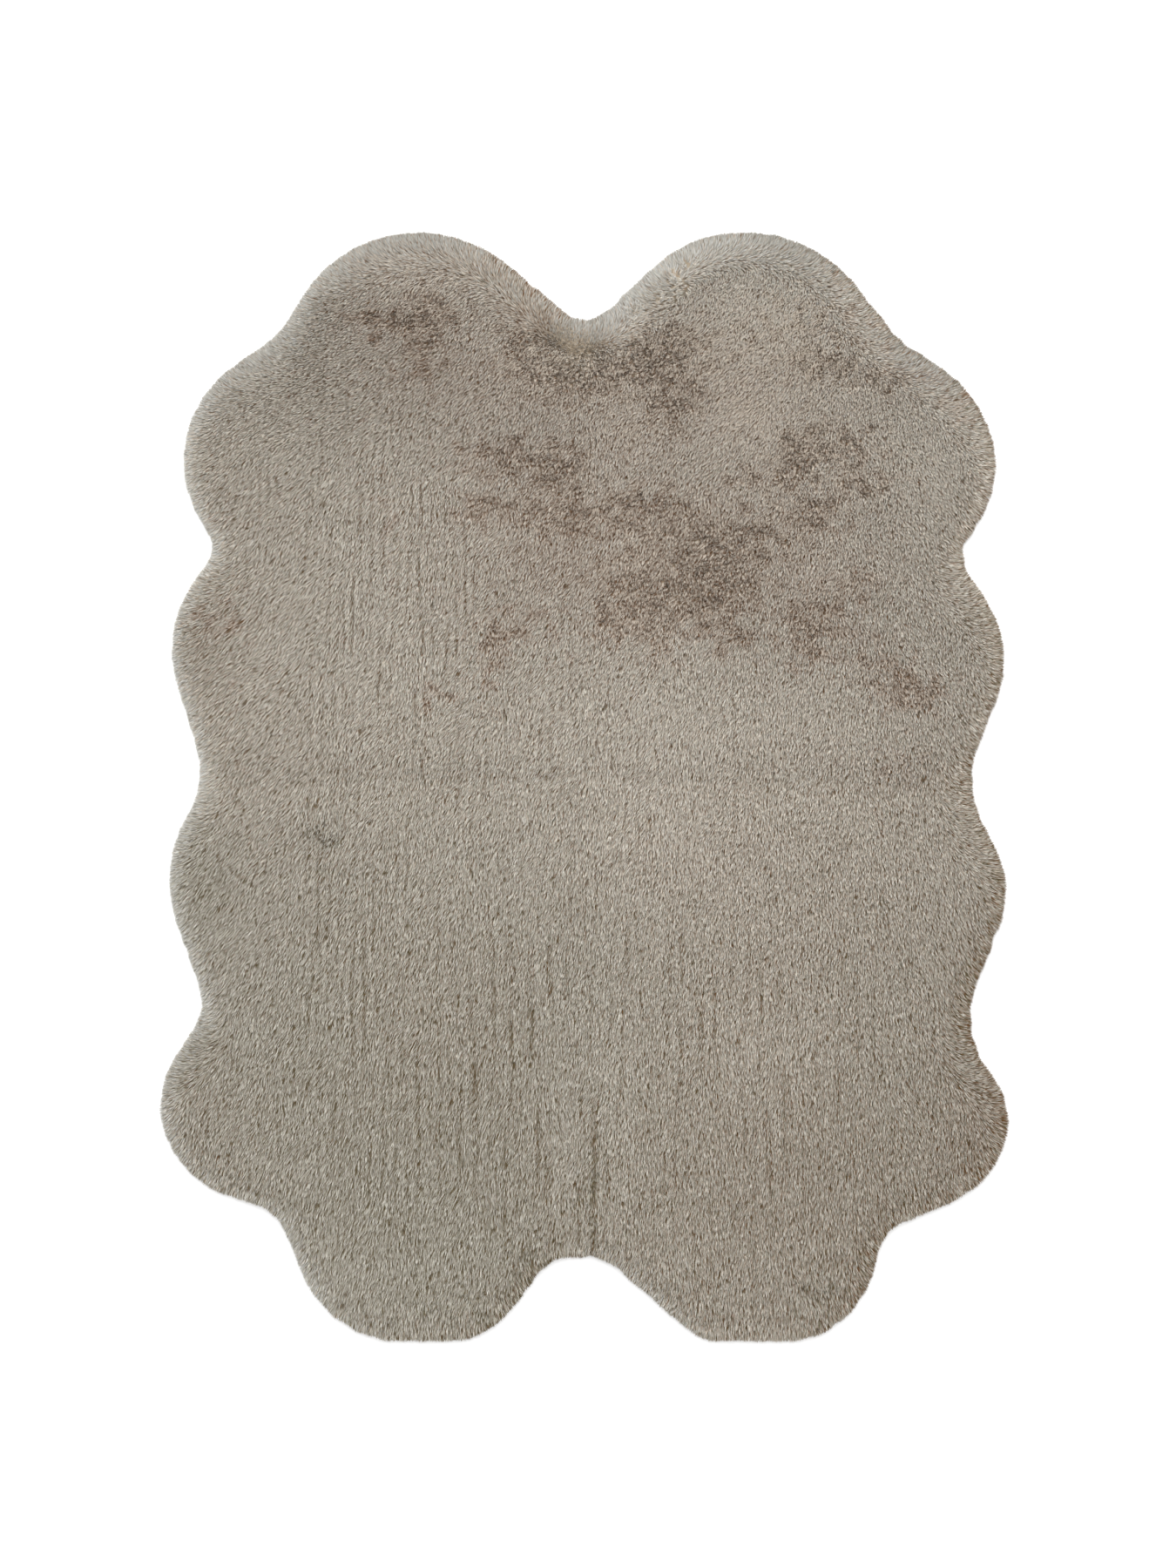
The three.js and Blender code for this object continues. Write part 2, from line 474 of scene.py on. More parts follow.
class Bench:
    """Builds one material's nodes."""

    def __init__(self, name: str) -> None:
        """Starts an empty material.

        Args:
            name: What the material is called.
        """
        self.material = bpy.data.materials.new(name)
        self.material.use_nodes = True
        self.tree = self.material.node_tree
        self.tree.nodes.clear()

    def node(self, kind: str, settings: Given = None, inputs: Given = None) -> bpy.types.Node:
        """Adds a node.

        Args:
            kind: The node's type.
            settings: Attributes of the node, set before the sockets.
            inputs: A value or a link for each named or numbered socket.

        Returns:
            The node.
        """
        made = self.tree.nodes.new(kind)
        for key, value in (settings or {}).items():
            setattr(made, key, value)
        for key, value in (inputs or {}).items():
            self.plug(made.inputs[key], value)
        return made

    def plug(self, socket: Socket, value: Any) -> None:
        """Links a socket, or sets its value.

        Args:
            socket: The input to feed.
            value: A wrapped or plain output socket, a number, or a colour or vector.
        """
        if isinstance(value, Sock):
            value = value.socket
        if isinstance(value, Socket):
            self.tree.links.new(value, socket)
        elif isinstance(value, tuple) and socket.type == "RGBA" and len(value) == 3:
            socket.default_value = (*value, 1.0)
        else:
            socket.default_value = value

    def value(self, *asked: Any) -> Sock:
        """Adds a node, asked for as in node(), and wraps its first output."""
        return Sock(self, self.node(*asked).outputs[0])

    def mix(self, share: Value, low: Any, high: Any) -> Socket:
        """Mixes two colours: low where share is 0, and high where it is 1."""
        settings = {"data_type": "RGBA", "clamp_factor": True}
        return self.node("ShaderNodeMix", settings, {0: share, 6: low, 7: high}).outputs[2]

    def noise(self, scale: float, detail: float, place: Any) -> Sock:
        """A noise value from 0 to 1, with scale bumps a metre, read at place."""
        return self.value("ShaderNodeTexNoise", None, {"Vector": place, "Scale": scale, "Detail": detail})

    def surface(self, inputs: dict[str, Any]) -> bpy.types.Material:
        """Makes the shader and sends it to the output.

        Args:
            inputs: A value or a link for each named socket of the shader.

        Returns:
            The finished material.
        """
        shader = self.node("ShaderNodeBsdfPrincipled", None, inputs)
        self.node("ShaderNodeOutputMaterial", None, {"Surface": shader.outputs[0]})
        return self.material


class Sock:
    """A number in a shader. Sums and products of it add the Math nodes that work them out."""

    def __init__(self, bench: Bench, socket: Socket) -> None:
        """Wraps an output socket of a bench's node."""
        self.bench = bench
        self.socket = socket

    def _math(self, operation: str, first: Value, second: Value = 0.0) -> Sock:
        """Adds one Math node."""
        return self.bench.value("ShaderNodeMath", {"operation": operation}, {0: first, 1: second})

    def __add__(self, other: Value) -> Sock:
        """self + other."""
        return self._math("ADD", self, other)

    def __radd__(self, other: Value) -> Sock:
        """other + self."""
        return self._math("ADD", other, self)

    def __sub__(self, other: Value) -> Sock:
        """self - other."""
        return self._math("SUBTRACT", self, other)

    def __rsub__(self, other: Value) -> Sock:
        """other - self."""
        return self._math("SUBTRACT", other, self)

    def __mul__(self, other: Value) -> Sock:
        """self * other."""
        return self._math("MULTIPLY", self, other)

    def __rmul__(self, other: Value) -> Sock:
        """other * self."""
        return self._math("MULTIPLY", other, self)

    def __gt__(self, other: Value) -> Sock:
        """1 where self is above other, and 0 elsewhere."""
        return self._math("GREATER_THAN", self, other)

    def fraction(self) -> Sock:
        """What is left past the whole number below."""
        return self._math("FRACT", self)

    def rise(self, start: float, end: float) -> Sock:
        """A smooth rise from 0 where self is start to 1 where it is end."""
        inputs = {"Value": self, "From Min": start, "From Max": end}
        return self.bench.value("ShaderNodeMapRange", {"interpolation_type": "SMOOTHSTEP"}, inputs)


# ---- Finishes


class Hue(Enum):
    """Yarn shades blended in the pile, and the painted rim light. The value is its place on the strand map.
    """

    TAUPE = 0
    OLIVE = 1
    ROSE = 2
    PAINTED_RIM_LIGHT = 3


@dataclass(frozen=True)
class Shades:
    """One yarn shade, or the painted rim light: its colour at the root, and at the tip where darkest and
    lightest.
    """

    root: Colour
    dark: Colour
    light: Colour


@dataclass(frozen=True)
class FurFinish:
    """The pile's fibres: dull at the root, silky and paler at the tip.

    The strand map gives u along a strand, from root to tip, and v its yarn shade and its tone.
    The shades stand in the order of Hue; the last is painted rim light.
    """

    shades: tuple[Shades, ...] = (
        Shades(linear(150, 137, 116), linear(108, 88, 60), linear(227, 223, 215)),
        Shades(linear(147, 137, 113), linear(102, 90, 60), linear(224, 221, 209)),
        Shades(linear(159, 133, 100), linear(111, 76, 42), linear(231, 222, 208)),
        # Painted rim light: pale silvery strands near the rims where the light falls.
        Shades(linear(180, 174, 162), linear(128, 122, 110), linear(224, 224, 220)),
    )
    tip_starts: float = 0.55
    roughness_root: float = 0.95
    roughness_tip: float = 0.62
    sheen: float = 0.12
    sheen_roughness: float = 0.45
    sheen_tint: Colour = (0.96, 0.98, 1.0)
    specular: float = 0.18

    def made(self) -> bpy.types.Material:
        """Builds the material.

        Returns:
            The material.
        """
        bench = Bench("fur pile")
        mapped = bench.node("ShaderNodeUVMap", {"uv_map": STRAND_MAP})
        parts = bench.node("ShaderNodeSeparateXYZ", None, {0: mapped.outputs[0]})
        along = Sock(bench, parts.outputs[0])
        band = Sock(bench, parts.outputs[1]) * len(Hue)
        tone = (band.fraction() - StrandMap.MARGIN) * (1 / StrandMap.SPAN)
        ends = astuple(self.shades[0])
        for number, shades in enumerate(self.shades[1:], start=1):
            past = band > float(number)
            ends = [bench.mix(past, low, high) for low, high in zip(ends, astuple(shades))]
        root, dark, light = ends
        colour = bench.mix(along.rise(0.0, self.tip_starts), root, bench.mix(tone, dark, light))
        rough = self.roughness_root + along * (self.roughness_tip - self.roughness_root)
        inputs = {"Base Color": colour, "Roughness": rough, "Specular IOR Level": self.specular}
        inputs |= {"Sheen Weight": self.sheen, "Sheen Roughness": self.sheen_roughness}
        return bench.surface(inputs | {"Sheen Tint": self.sheen_tint})


@dataclass(frozen=True)
class UnderfurFinish:
    """The short wool between the strands' roots: matt, mottled and fuzzy."""

    deep: Colour = linear(148, 135, 117)
    pale: Colour = linear(167, 156, 140)
    roughness: float = 0.95
    specular: float = 0.1
    mottle: float = 160.0
    fuzz: float = 900.0
    bump: float = 1.2 * MM
    bump_strength: float = 0.8

    def made(self) -> bpy.types.Material:
        """Builds the material.

        Returns:
            The material.
        """
        bench = Bench("underfur")
        place = bench.node("ShaderNodeTexCoord").outputs["Object"]
        mottle = bench.noise(self.mottle, 3.0, place)
        fuzz = bench.noise(self.fuzz, 2.0, place)
        colour = bench.mix(mottle.rise(0.35, 0.65), self.deep, self.pale)
        height = {"Strength": self.bump_strength, "Distance": self.bump, "Height": fuzz + mottle}
        bump = bench.node("ShaderNodeBump", None, height)
        inputs = {"Base Color": colour, "Roughness": self.roughness, "Specular IOR Level": self.specular}
        return bench.surface(inputs | {"Normal": bump.outputs[0]})


@dataclass(frozen=True)
class FloorFinish:
    """The studio's pale floor, lit a little from below so that it shows hardly any shadow."""

    colour: Colour = (0.8, 0.8, 0.8)
    roughness: float = 0.9
    glow: float = 0.3

    def made(self) -> bpy.types.Material:
        """Builds the material.

        Returns:
            The material.
        """
        inputs = {"Base Color": self.colour, "Roughness": self.roughness, "Specular IOR Level": 0.0}
        inputs |= {"Emission Color": (1.0, 1.0, 1.0), "Emission Strength": self.glow}
        return Bench("studio floor").surface(inputs)


# ---- Underfur


def mesh_object(name: str, points: Array, faces: Array) -> Object:
    """Makes a smooth mesh object of triangles.

    Args:
        name: The object's name.
        points: Its vertices, three numbers each.
        faces: Its triangles, three vertex numbers each.

    Returns:
        The object, linked to the scene.
    """
    mesh = bpy.data.meshes.new(name)
    mesh.vertices.add(len(points))
    mesh.vertices.foreach_set("co", points.astype(np.float32).ravel())
    mesh.loops.add(faces.size)
    mesh.loops.foreach_set("vertex_index", faces.astype(np.int32).ravel())
    mesh.polygons.add(len(faces))
    mesh.polygons.foreach_set("loop_start", np.arange(0, faces.size, 3, dtype=np.int32))
    mesh.update(calc_edges=True)
    mesh.shade_smooth()
    made = bpy.data.objects.new(name, mesh)
    bpy.context.scene.collection.objects.link(made)
    return made


def closed(rings: Sequence[Array], middles: Array) -> tuple[Array, Array]:
    """Skins rings of points, and closes the skin at a middle point above and one below.

    Args:
        rings: Rings from the underside's edge, up the sides and in over the top.
        middles: The point above, then the point below.

    Returns:
        The points and the triangles.
    """
    around = len(rings[0])
    points = np.vstack([*rings, middles])
    here = np.arange(around)
    following = np.roll(here, -1)
    faces = []
    last = (len(rings) - 1) * around
    for outer in range(0, last, around):
        inner = outer + around
        faces.append(np.stack([outer + here, inner + here, inner + following], 1))
        faces.append(np.stack([outer + here, inner + following, outer + following], 1))
    above, below = len(points) - 2, len(points) - 1
    faces.append(np.stack([last + here, np.full(around, above), last + following], 1))
    faces.append(np.stack([here, following, np.full(around, below)], 1))
    return points, np.vstack(faces)


@dataclass
class Underfur:
    """The dense lower part of the pile, as one soft mat that the strands stand out of.

    Insets and heights, in millimetres, are the rounded edge's section, from the underside up. Pile
    depth is how far the mat's top lies below the strands' tips.
    """

    solid: Solid
    insets: tuple[float, ...] = (21, 12, 8, 7, 9, 14, 24, 40)
    heights: tuple[float, ...] = (0, 1, 4, 8, 12, 15, 17.2, 18.2)
    first_root: int = 2
    pile_depth: float = 12 * MM
    rings: int = 14
    step: float = 2 * MM
    least: float = 0.8
    finish: UnderfurFinish = UnderfurFinish()
    piece: Object = field(init=False)

    def __post_init__(self) -> None:
        """Brings the section to metres and measures along it."""
        self.inset, self.height = np.array([self.insets, self.heights]) * MM
        self.wall = np.array([self.inset, self.height])[:, self.first_root :]
        self.travel = np.concatenate([[0.0], np.cumsum(np.hypot(*np.diff(self.wall)))])
        self.edge_width = float(self.inset[-1])

    def _section(self, travel: Array) -> Array:
        """Insets and heights on the rounded edge, by the way travelled up it from its lowest roots."""
        return np.array([np.interp(travel, self.travel, line) for line in self.wall])

    def seat(self, places: Array, depth: Array, outward: Array) -> tuple[Array, Array]:
        """Where strands are rooted.

        The outer strands share out the rounded edge evenly, and the others stand where they are.

        Args:
            places: The strands' places in plan.
            depth: How far inside the outline each lies.
            outward: The direction out of the rug at each.

        Returns:
            Each root, and the mat's outward normal there.
        """
        travel = np.clip(depth / self.edge_width, 0.0, 1.0) * self.travel[-1]
        inset, height = self._section(travel)
        run, rise = self._section(travel + self.step) - self._section(travel - self.step)
        normal = unit(np.column_stack([outward * rise[:, None], run]))
        edge = depth < self.edge_width
        moved = places + outward * (depth - inset)[:, None]
        plan = np.where(edge[:, None], moved, places)
        tops = self.solid.top(plan) - self.pile_depth
        wall = np.minimum(height, np.maximum(tops, height * self.least))
        root = np.column_stack([plan, np.where(edge, wall, tops)])
        normal[~edge] = (0.0, 0.0, 1.0)
        return root, normal

    def build(self) -> Object:
        """Makes the mat: rings round the edge and in over the field, closed above and below.

        Returns:
            The mat.
        """
        rim, outward = self.solid.rim[::3], self.solid.outward[::3]
        rings = []
        for inset, height in zip(self.inset, self.height):
            rings.append(np.column_stack([rim - outward * inset, np.full(len(rim), height)]))
        inner = rings[-1][:, :2]
        for share in np.linspace(1.0, 0.0, self.rings, endpoint=False)[1:]:
            plan = inner * share
            rings.append(np.column_stack([plan, self.solid.top(plan) - self.pile_depth]))
        middle = self.solid.top(np.zeros((1, 2)))[0] - self.pile_depth
        middles = np.array([[0.0, 0.0, middle], [0.0, 0.0, self.height[0]]])
        self.piece = mesh_object("fur_mat", *closed(rings, middles))
        return self.piece

    def dress(self) -> None:
        """Gives the mat its finish and its body, and hides the solid that it stands for."""
        self.piece.data.materials.append(self.finish.made())
        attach(self.piece, BODY)
        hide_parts(SOLID)


# ---- Pile


class StrandMap:
    """Where a strand lies on the strand map."""

    MARGIN = 0.08
    SPAN = 0.84
    HALF_WIDTH = 0.002

    @classmethod
    def across(cls, hue: Array, tone: Array) -> Array:
        """The v of strands, by yarn shade and tone."""
        return (hue + cls.MARGIN + cls.SPAN * np.clip(tone, 0.0, 1.0)) / len(Hue)


@dataclass(frozen=True)
class Edge:
    """How the pile falls and reaches out near the rim. Lengths are in metres."""

    push: float = 1.0 * MM
    push_aside: float = 3.0 * MM
    push_notch: float = 5.0 * MM
    push_depths: tuple[float, float] = (4 * MM, 30 * MM)
    drop: float = 2.5 * MM
    drop_depths: tuple[float, float] = (6 * MM, 38 * MM)
    foot_depths: tuple[float, float] = (18 * MM, 36 * MM)
    fanned: float = 9 * MM
    fan_least: float = 45 * MM
    fan_more: float = 32 * MM
    fan_middle: float = -0.02
    fan_blend: float = 0.07
    overhang: float = 2.2 * MM
    more_foot: float = 1.5
    more_right: float = 1.6
    more_notch: float = 5 * MM
    less_slope: float = 4.0 * MM
    ragged: float = 1.5 * MM
    notch_ends: tuple[float, float] = (0.15, 0.25)


@dataclass(frozen=True)
class Tones:
    """Steps of tone, where 0 is the darkest a tip can be and 1 the lightest. Reaches are in metres."""

    base: float = 0.574
    # Partly painted light and shade, from SHADES.
    shade: float = 0.10
    mussed: float = 0.10
    astray: float = 0.02
    # Painted rim light: the left rim lighter.
    left: float = 0.11
    # Painted rim shade: the right rim darker, less so towards the foot; the head rim and its right shoulder
    # darker.
    right: tuple[tuple[float, float], ...] = ((0.56, 18 * MM), (0.45, 5 * MM))
    right_foot: float = 0.78
    head: float = 0.85
    head_reach: float = 15 * MM
    shoulder: float = 0.9
    shoulder_reach: float = 28 * MM
    # Painted light: a lighter band in from the head rim, where the pile turns out over it.
    full: float = 0.05
    full_from: tuple[float, float] = (30 * MM, 60 * MM)
    full_to: tuple[float, float] = (110 * MM, 170 * MM)
    foot: float = 0.03
    line: float = 0.06
    line_depth: float = 36 * MM
    line_width: float = 8 * MM
    # How far in from the rim the painted rim light reaches.
    rim_light_reach: float = 22 * MM
    rim_light_more: float = 18 * MM
    strand: float = 0.52
    # Painted shade on the short strands, darker down in the pile.
    short: float = 0.28
    # Dark flecks: the brown roots showing, and painted shade in the holes between tufts.
    fleck: float = 0.46
    # Painted shade in the furrows and along the partings' creases; painted light and shade on the locks,
    # lighter on their backs and darker between them.
    furrow: float = 0.30
    crease: float = 0.36
    lock: float = 0.26


@dataclass
class Tufts:
    """Tufts over the whole rug: their places and seats, and later their lean and colour."""

    place: Array
    depth: Array
    outward: Array
    root: Array
    normal: Array
    mussed: Array
    raked: Array
    lean: Array = field(init=False)
    tone: Array = field(init=False)
    warm: Array = field(init=False)
    painted_rim_light: Array = field(init=False)


@dataclass
class Pile:
    """The strands. Each is one slim blade, broad at the root and pointed at the tip."""

    solid: Solid
    underfur: Underfur
    pitch_across: float = 3.8 * MM
    pitch_along: float = 4.3 * MM
    scatter: float = 0.12
    rows: int = 3
    rise: float = 11.6 * MM
    shortest: float = 0.78
    tallest: float = 1.04
    sunk: float = 1.0 * MM
    width: float = 2.35 * MM
    rim_wider: float = 0.3
    rim_depths: tuple[float, float] = (10 * MM, 50 * MM)
    lay: float = 1.25
    roll: float = math.radians(38)
    grain_height: float = 0.9 * MM
    furrow_depth: float = 2.0 * MM
    floor_gap: float = 0.6 * MM
    edge: Edge = Edge()
    tones: Tones = Tones()
    finish: FurFinish = FurFinish()
    rng: Random = field(init=False)
    relief: Relief = field(init=False)
    pieces: list[Object] = field(default_factory=list, init=False)

    def sites(self) -> Array:
        """Places of tufts in plan, inside the rim and round it: rows set off by half a pitch.

        Returns:
            The places.
        """
        pitch = (self.pitch_across, self.pitch_along)
        x, y = np.meshgrid(*map(np.arange, self.solid.rim.min(0), self.solid.rim.max(0), pitch))
        y[:, 1::2] += self.pitch_along / 2
        places = np.stack([x.ravel(), y.ravel()], 1)
        return places + self.rng.normal(0.0, self.scatter, places.shape) * pitch

    def tufts(self) -> Tufts:
        """Works out the tufts.

        Returns:
            The tufts.
        """
        place = self.sites()
        depth, outward = self.solid.depth(place)
        inside = depth > 0
        place, depth, outward = place[inside], depth[inside], outward[inside]
        root, normal = self.underfur.seat(place, depth, outward)
        shifts = [Ripples(self.rng, 45 * MM).at(place) for _ in range(2)]
        warped = place + np.stack(shifts, 1) * 7 * MM
        mottle = Ripples(self.rng, 26 * MM).at(place)
        mussed = ramp(spotted(warped, MUSSED) + 0.12 * mottle, 0.05, 0.9)
        raked = spotted(place, RAKED) * (1 - mussed)
        tufts = Tufts(place, depth, outward, root, normal, mussed, raked)
        self._lay_down(tufts)
        self._shade(tufts, shaded(warped), mottle)
        return tufts

    def _lay_down(self, tufts: Tufts) -> None:
        """Leans the tufts with the nap, and near the rim out over it.

        Args:
            tufts: The tufts, whose lean is set.
        """
        place, depth, outward, normal = tufts.place, tufts.depth, tufts.outward, tufts.normal
        mussed = tufts.mussed[:, None]
        nap = nap_at(place)
        swirl = 0.08 * Ripples(self.rng, 90 * MM).at(place) + 0.05 * Ripples(self.rng, 30 * MM).at(place)
        cos, sin = np.cos(swirl)[:, None], np.sin(swirl)[:, None]
        turned = nap * cos + nap[:, ::-1] * (-1, 1) * sin
        stray = self.rng.normal(size=turned.shape) * (0.3 + 1.5 * mussed) * MM
        plan_lean = turned * self.lay * (1 - 0.3 * mussed) + stray
        agree = (outward * unit(nap)).sum(1)
        reach = self.edge.fan_least + self.edge.fan_more * ramp(-agree, -0.3, 0.6)
        share = (1 - ramp(depth / reach, 0.0, 1.0)) * mixed(1.0, 0.5, ramp(agree, -0.2, 0.6))
        plan_lean = self._fanned(tufts, plan_lean, share)
        lean = np.column_stack([plan_lean, np.zeros(len(place))])
        lean -= normal * (lean * normal).sum(1)[:, None]
        right, left, head, _ = sides(outward)
        push = self.edge.push + self.edge.push_aside * (self._foot(tufts) + right)
        push += self.edge.push_notch * 2 * head * left * ramp(place[:, 0], 0.0, 0.03)
        lean[:, :2] += outward * (push * (1 - ramp(depth, *self.edge.push_depths)))[:, None]
        lean[:, 2] -= self.edge.drop * (1 - ramp(depth, *self.edge.drop_depths))
        tufts.lean = lean

    def _foot(self, tufts: Tufts) -> Array:
        """How near each tuft is to a rim that faces the foot, from 0 to 1."""
        return ramp(sides(tufts.outward)[3], *FACING) * (1 - ramp(tufts.depth, *self.edge.foot_depths))

    def _shade(self, tufts: Tufts, shade: Array, mottle: Array) -> None:
        """Works out how light and how warm the tufts are, with painted rim light and painted rim shade.

        Args:
            tufts: The tufts, whose tone, warm and painted rim light are set.
            shade: How much lighter, and how much warmer, the fur is at each.
            mottle: A smooth random field over them.
        """
        tones = self.tones
        x, y = tufts.place.T
        depth = tufts.depth
        right, left, head, foot = sides(tufts.outward)
        head *= ramp(y, 0.3, 0.5)
        tone = tones.base + tones.shade * shade[:, 0] + tones.mussed * tufts.mussed
        tone += tones.astray * self.rng.normal(size=len(depth))

        # Painted rim light: the left and head rims lighter and silvery, fading inwards; the head's right
        # shoulder silvery and cooler.
        glow = np.exp(-((depth / (tones.rim_light_reach + tones.rim_light_more * head)) ** 2))
        shoulder = head * right * ramp(x, 0.12, 0.3) * np.exp(-depth / tones.shoulder_reach)
        painted_rim_light = np.clip(1.2 * head + left - 0.8 * right, 0.0, 1.0) * glow + 0.7 * shoulder

        # Painted rim shade: darker at the right rim, less so towards the foot, at the head rim and on its
        # right shoulder.
        painted_rim_shade = right * (1 - head) * sum(step * np.exp(-depth / reach) for step, reach in tones.right)
        painted_rim_shade *= mixed(tones.right_foot, 1.0, ramp(y, -0.45, -0.25))
        painted_rim_shade += tones.head * head * np.exp(-depth / tones.head_reach) + tones.shoulder * shoulder
        # Painted light: a lighter band in from the head rim, where the pile turns out over it.
        full = ramp(head, *FACING) * (1 - ramp(left, *FACING))
        full *= ramp(depth, *tones.full_from) * (1 - ramp(depth, *tones.full_to))
        line = ramp(foot, *FACING) * ramp(mottle, -0.8, 1.0)
        line *= np.exp(-(((depth - tones.line_depth) / tones.line_width) ** 2))
        tone += tones.left * left * glow + tones.full * full - painted_rim_shade
        tufts.tone = tone - tones.foot * self._foot(tufts) - tones.line * line
        browned = tufts.mussed * mixed(-0.3, 1.6, ramp(y, -0.12, 0.08))
        tufts.warm = shade[:, 1] + browned - 1.2 * shoulder
        tufts.painted_rim_light = painted_rim_light

    def _fanned(self, tufts: Tufts, lean: Array, share: Array) -> Array:
        """Turns the pile near the rim out over the edge, by the side, so that it never stands open.

        Args:
            tufts: The tufts.
            lean: How they lean in plan.
            share: How far to turn each, from 0 to 1.

        Returns:
            The turned lean.
        """
        outward = tufts.outward
        start = np.arctan2(lean[:, 1], lean[:, 0])
        swing = np.arctan2(outward[:, 1], outward[:, 0]) - start
        off_middle = tufts.place[:, 0] - self.edge.fan_middle
        side = np.where(tufts.place[:, 0] > self.edge.fan_middle, 1.0, -1.0)
        swing = side * (np.mod(side * swing + math.tau / 3, math.tau) - math.tau / 3)
        heading = start + swing * share
        size = mixed(np.linalg.norm(lean, axis=1), self.edge.fanned, share)
        size *= 1 - 0.1 * np.sin(math.pi * share) * ramp(np.abs(swing), 1.6, 3.0)
        fanned = np.stack([np.cos(heading), np.sin(heading)], 1) * size[:, None]
        straight = mixed(lean, outward * self.edge.fanned, share[:, None])
        return mixed(straight, fanned, ramp(np.abs(off_middle), 0.0, self.edge.fan_blend)[:, None])

    def strands_of(self, tufts: Tufts) -> tuple[Array, Array]:
        """Grows the strands of tufts.

        Args:
            tufts: The tufts.

        Returns:
            Three points for each strand, two at the root and the tip, and its v on the strand map.
        """
        grown = len(tufts.place)
        count = grown * self.strands
        each = np.repeat(np.arange(grown), self.strands)
        normal = tufts.normal[each]
        level = unit(np.cross(normal, (1.0, 0.0, 0.0)) + (TINY, 0.0, 0.0))
        cross = unit(np.cross(level, normal))
        cell = np.stack(np.divmod(np.tile(np.arange(self.strands), grown), self.rows), 1)
        within = (cell + self.rng.random((count, 2))) / self.rows - 0.5
        offset = cross * within[:, :1] * self.pitch_across + level * within[:, 1:] * self.pitch_along
        root = tufts.root[each] + offset - normal * self.sunk
        length = self._dealt(grown)
        high = self.rise * mixed(self.shortest, self.tallest, length)[:, None]
        lean = tufts.lean[each] * (1 + 0.12 * self.rng.normal(size=count))[:, None] + self._parting(root)
        tip = root + normal * high + lean + self.rng.normal(size=(count, 3)) * (0.6, 0.6, 0.2) * MM
        outward = tufts.outward[each]
        rim = tufts.place[each] + outward * tufts.depth[each][:, None]
        overhang = self._overhang(rim, outward)
        for points in (root, tip):
            over = ((points[:, :2] - rim) * outward).sum(1) - overhang
            points[:, :2] -= outward * np.maximum(over, 0.0)[:, None]

        side = unit(np.cross(tip - root, normal) + 1e-6)
        roll = (2 * self._dealt(grown)[:, None] - 1) * self.roll
        side = side * np.cos(roll) + np.cross(side, unit(tip - root)) * np.sin(roll)
        width = self.width * (1 + self.rim_wider * (1 - ramp(tufts.depth[each], *self.rim_depths)))
        half = side * (width / 2 * self.rng.uniform(0.8, 1.2, count))[:, None]
        plan = root[:, :2] * 0.3 + tip[:, :2] * 0.7
        mussed = tufts.mussed[each]
        smooth = 1 - 0.6 * tufts.painted_rim_light[each]
        furrow = tufts.raked[each] * self.relief.furrows(plan)
        crease = self.relief.creases(plan)
        stroke = self.relief.strokes(plan, tufts.lean[each]) * (1 - 0.6 * mussed) * smooth
        tip[:, 2] += self.grain_height * (mussed * self.relief.grain(plan) + stroke)
        tip[:, 2] -= self.furrow_depth * (furrow + crease)
        points = np.stack([root + half, root - half, tip], 1)
        points[:, :, 2] = np.maximum(points[:, :, 2], self.floor_gap)

        tones = self.tones
        # Dark flecks, most in the mussed patches: the brown roots showing, and painted shade in the holes
        # between tufts.
        speckle = Ripples(self.rng, 5.0 * MM, 32).at(plan * (1.1, 0.8)) + 0.25 * self.rng.normal(size=count)
        fleck = ramp(speckle + 2.1 * mussed**0.75, 1.7, 2.7)
        # Own tone, random from strand to strand, with painted shade on the short strands down in the pile.
        own_tone = tones.strand * (self._dealt(grown) - 0.5) - tones.short * (1 - length) ** 3
        # Painted light and shade on the locks, lighter on their backs and darker between them; painted shade
        # in the furrows and along the creases.
        tone = tufts.tone[each] + own_tone * smooth + tones.lock * stroke
        tone -= tones.fleck * fleck + tones.furrow * furrow + tones.crease * crease
        draw = self._dealt(grown) * 1.6 - 0.8
        warm = tufts.warm[each]
        hue = np.where(warm < draw - 0.25, Hue.OLIVE.value, Hue.TAUPE.value)
        hue = np.where(warm > draw + 0.35, Hue.ROSE.value, hue)
        # Strands under the painted rim light take its pale silvery colour.
        hue = np.where(tufts.painted_rim_light[each] > 1.1 * self._dealt(grown), Hue.PAINTED_RIM_LIGHT.value, hue)
        return points, StrandMap.across(hue, tone)

    @property
    def strands(self) -> int:
        """How many strands a tuft has."""
        return self.rows**2

    def _dealt(self, tufts: int) -> Array:
        """Random numbers from 0 to 1, one a strand, dealt so that every tuft has an even share."""
        rank = self.rng.random((tufts, self.strands)).argsort(1).ravel()
        return (rank + self.rng.random(tufts * self.strands)) / self.strands

    def _overhang(self, rim: Array, outward: Array) -> Array:
        """How far strands may hang out over the rim, more at the lobes and less between them.

        Args:
            rim: The rim's point nearest to each strand.
            outward: The direction out of the rug there.

        Returns:
            The reach of each strand, in metres.
        """
        edge = self.edge
        uneven = 0.5 * Ripples(self.rng, 26 * MM).at(rim) + 0.7 * self.rng.normal(size=len(rim))
        right, left, head, foot = sides(outward)
        slope = 2 * (right + left) * (head + foot)
        upward, leftward = ramp(head, 0.0, 0.3), ramp(left, 0.0, 0.3)
        notch = upward * (1 - ramp(np.abs(rim[:, 0]), *edge.notch_ends))
        reach = edge.overhang * (1 + edge.more_foot * foot**4 + edge.more_right * right**4)
        reach += edge.more_notch * notch * leftward
        reach -= edge.less_slope * slope * (1 - np.maximum(notch, upward * leftward))
        return reach + edge.ragged * np.clip(uneven, -2.0, 2.0)

